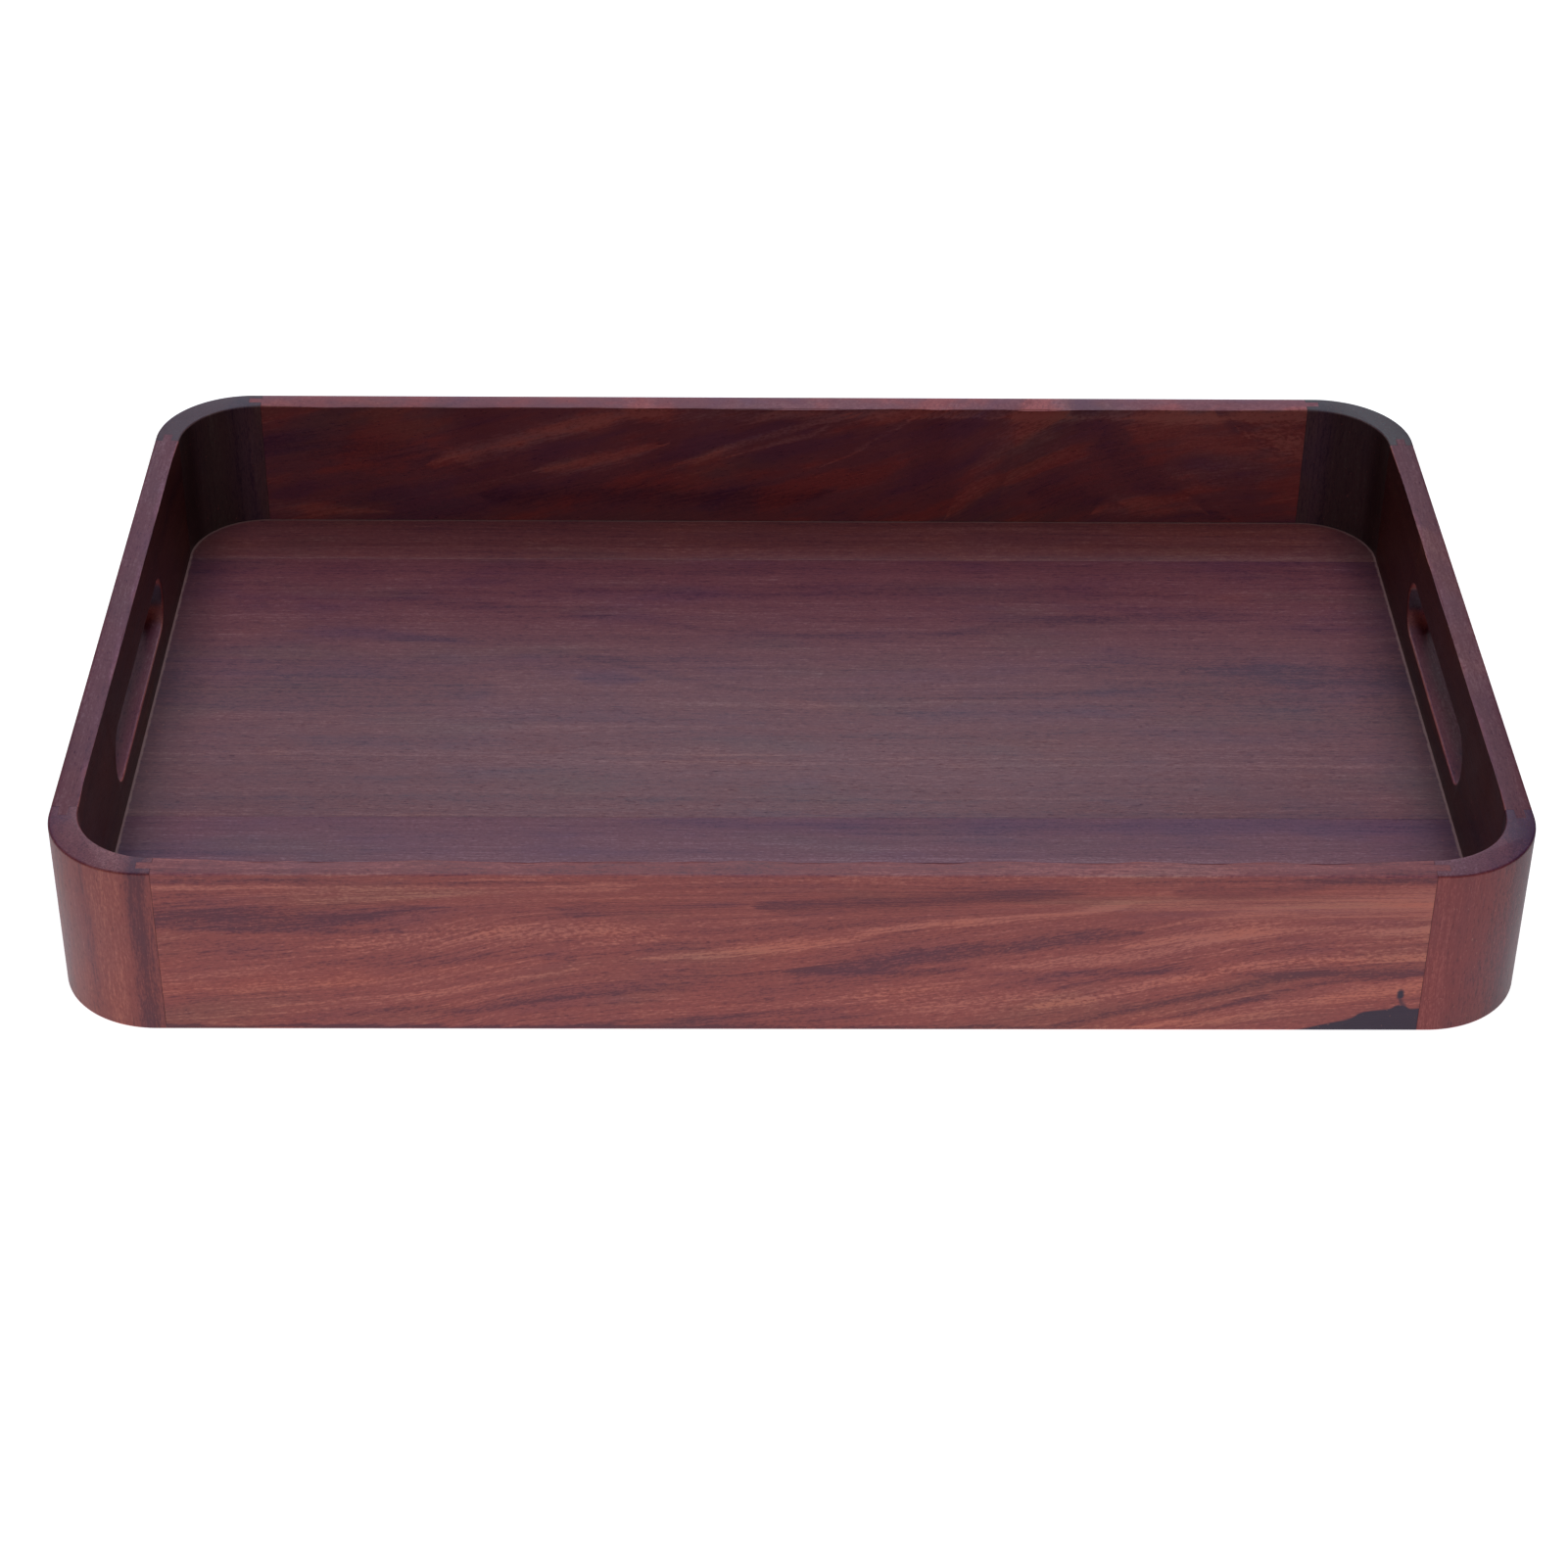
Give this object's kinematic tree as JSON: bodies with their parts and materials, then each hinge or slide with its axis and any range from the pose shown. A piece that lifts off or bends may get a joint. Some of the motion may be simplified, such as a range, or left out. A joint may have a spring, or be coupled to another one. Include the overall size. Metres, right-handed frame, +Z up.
{
  "type": "serving tray",
  "caption": "Rectangular wooden serving tray with a low vertical wall, rounded corner blocks, stadium hand slots in its ends and a veneered base held in a groove.",
  "frame": {"origin": "middle of the footprint, on the plane that the tray stands on", "axes": "+X along the tray's length, from the left hand slot to the right one; +Y from the front rail to the back rail; +Z up"},
  "size_m": [0.455, 0.3, 0.059],
  "materials": {
    "rail_wood": "red-brown stained hardwood, grain along the rail, satin lacquer",
    "corner_wood": "red-brown stained hardwood, grain upright with end grain on top, satin lacquer",
    "face_veneer": "dark red-brown stained veneer, fine straight grain along the tray, satin lacquer",
    "inner_ply": "plain unfinished plywood, hidden inside the base"
  },
  "bodies": {
    "root": {"front_rail": "rail_wood", "back_rail": "rail_wood", "left_handle_rail": "rail_wood", "right_handle_rail": "rail_wood", "front_left_corner_block": "corner_wood", "front_right_corner_block": "corner_wood", "back_left_corner_block": "corner_wood", "back_right_corner_block": "corner_wood", "base_face_leaf_front": "face_veneer", "base_face_leaf_middle": "face_veneer", "base_face_leaf_back": "face_veneer", "base_upper_crossband": "inner_ply", "base_core_ply": "inner_ply", "base_lower_crossband": "inner_ply", "base_backing_veneer": "face_veneer"}
  },
  "joints": []
}
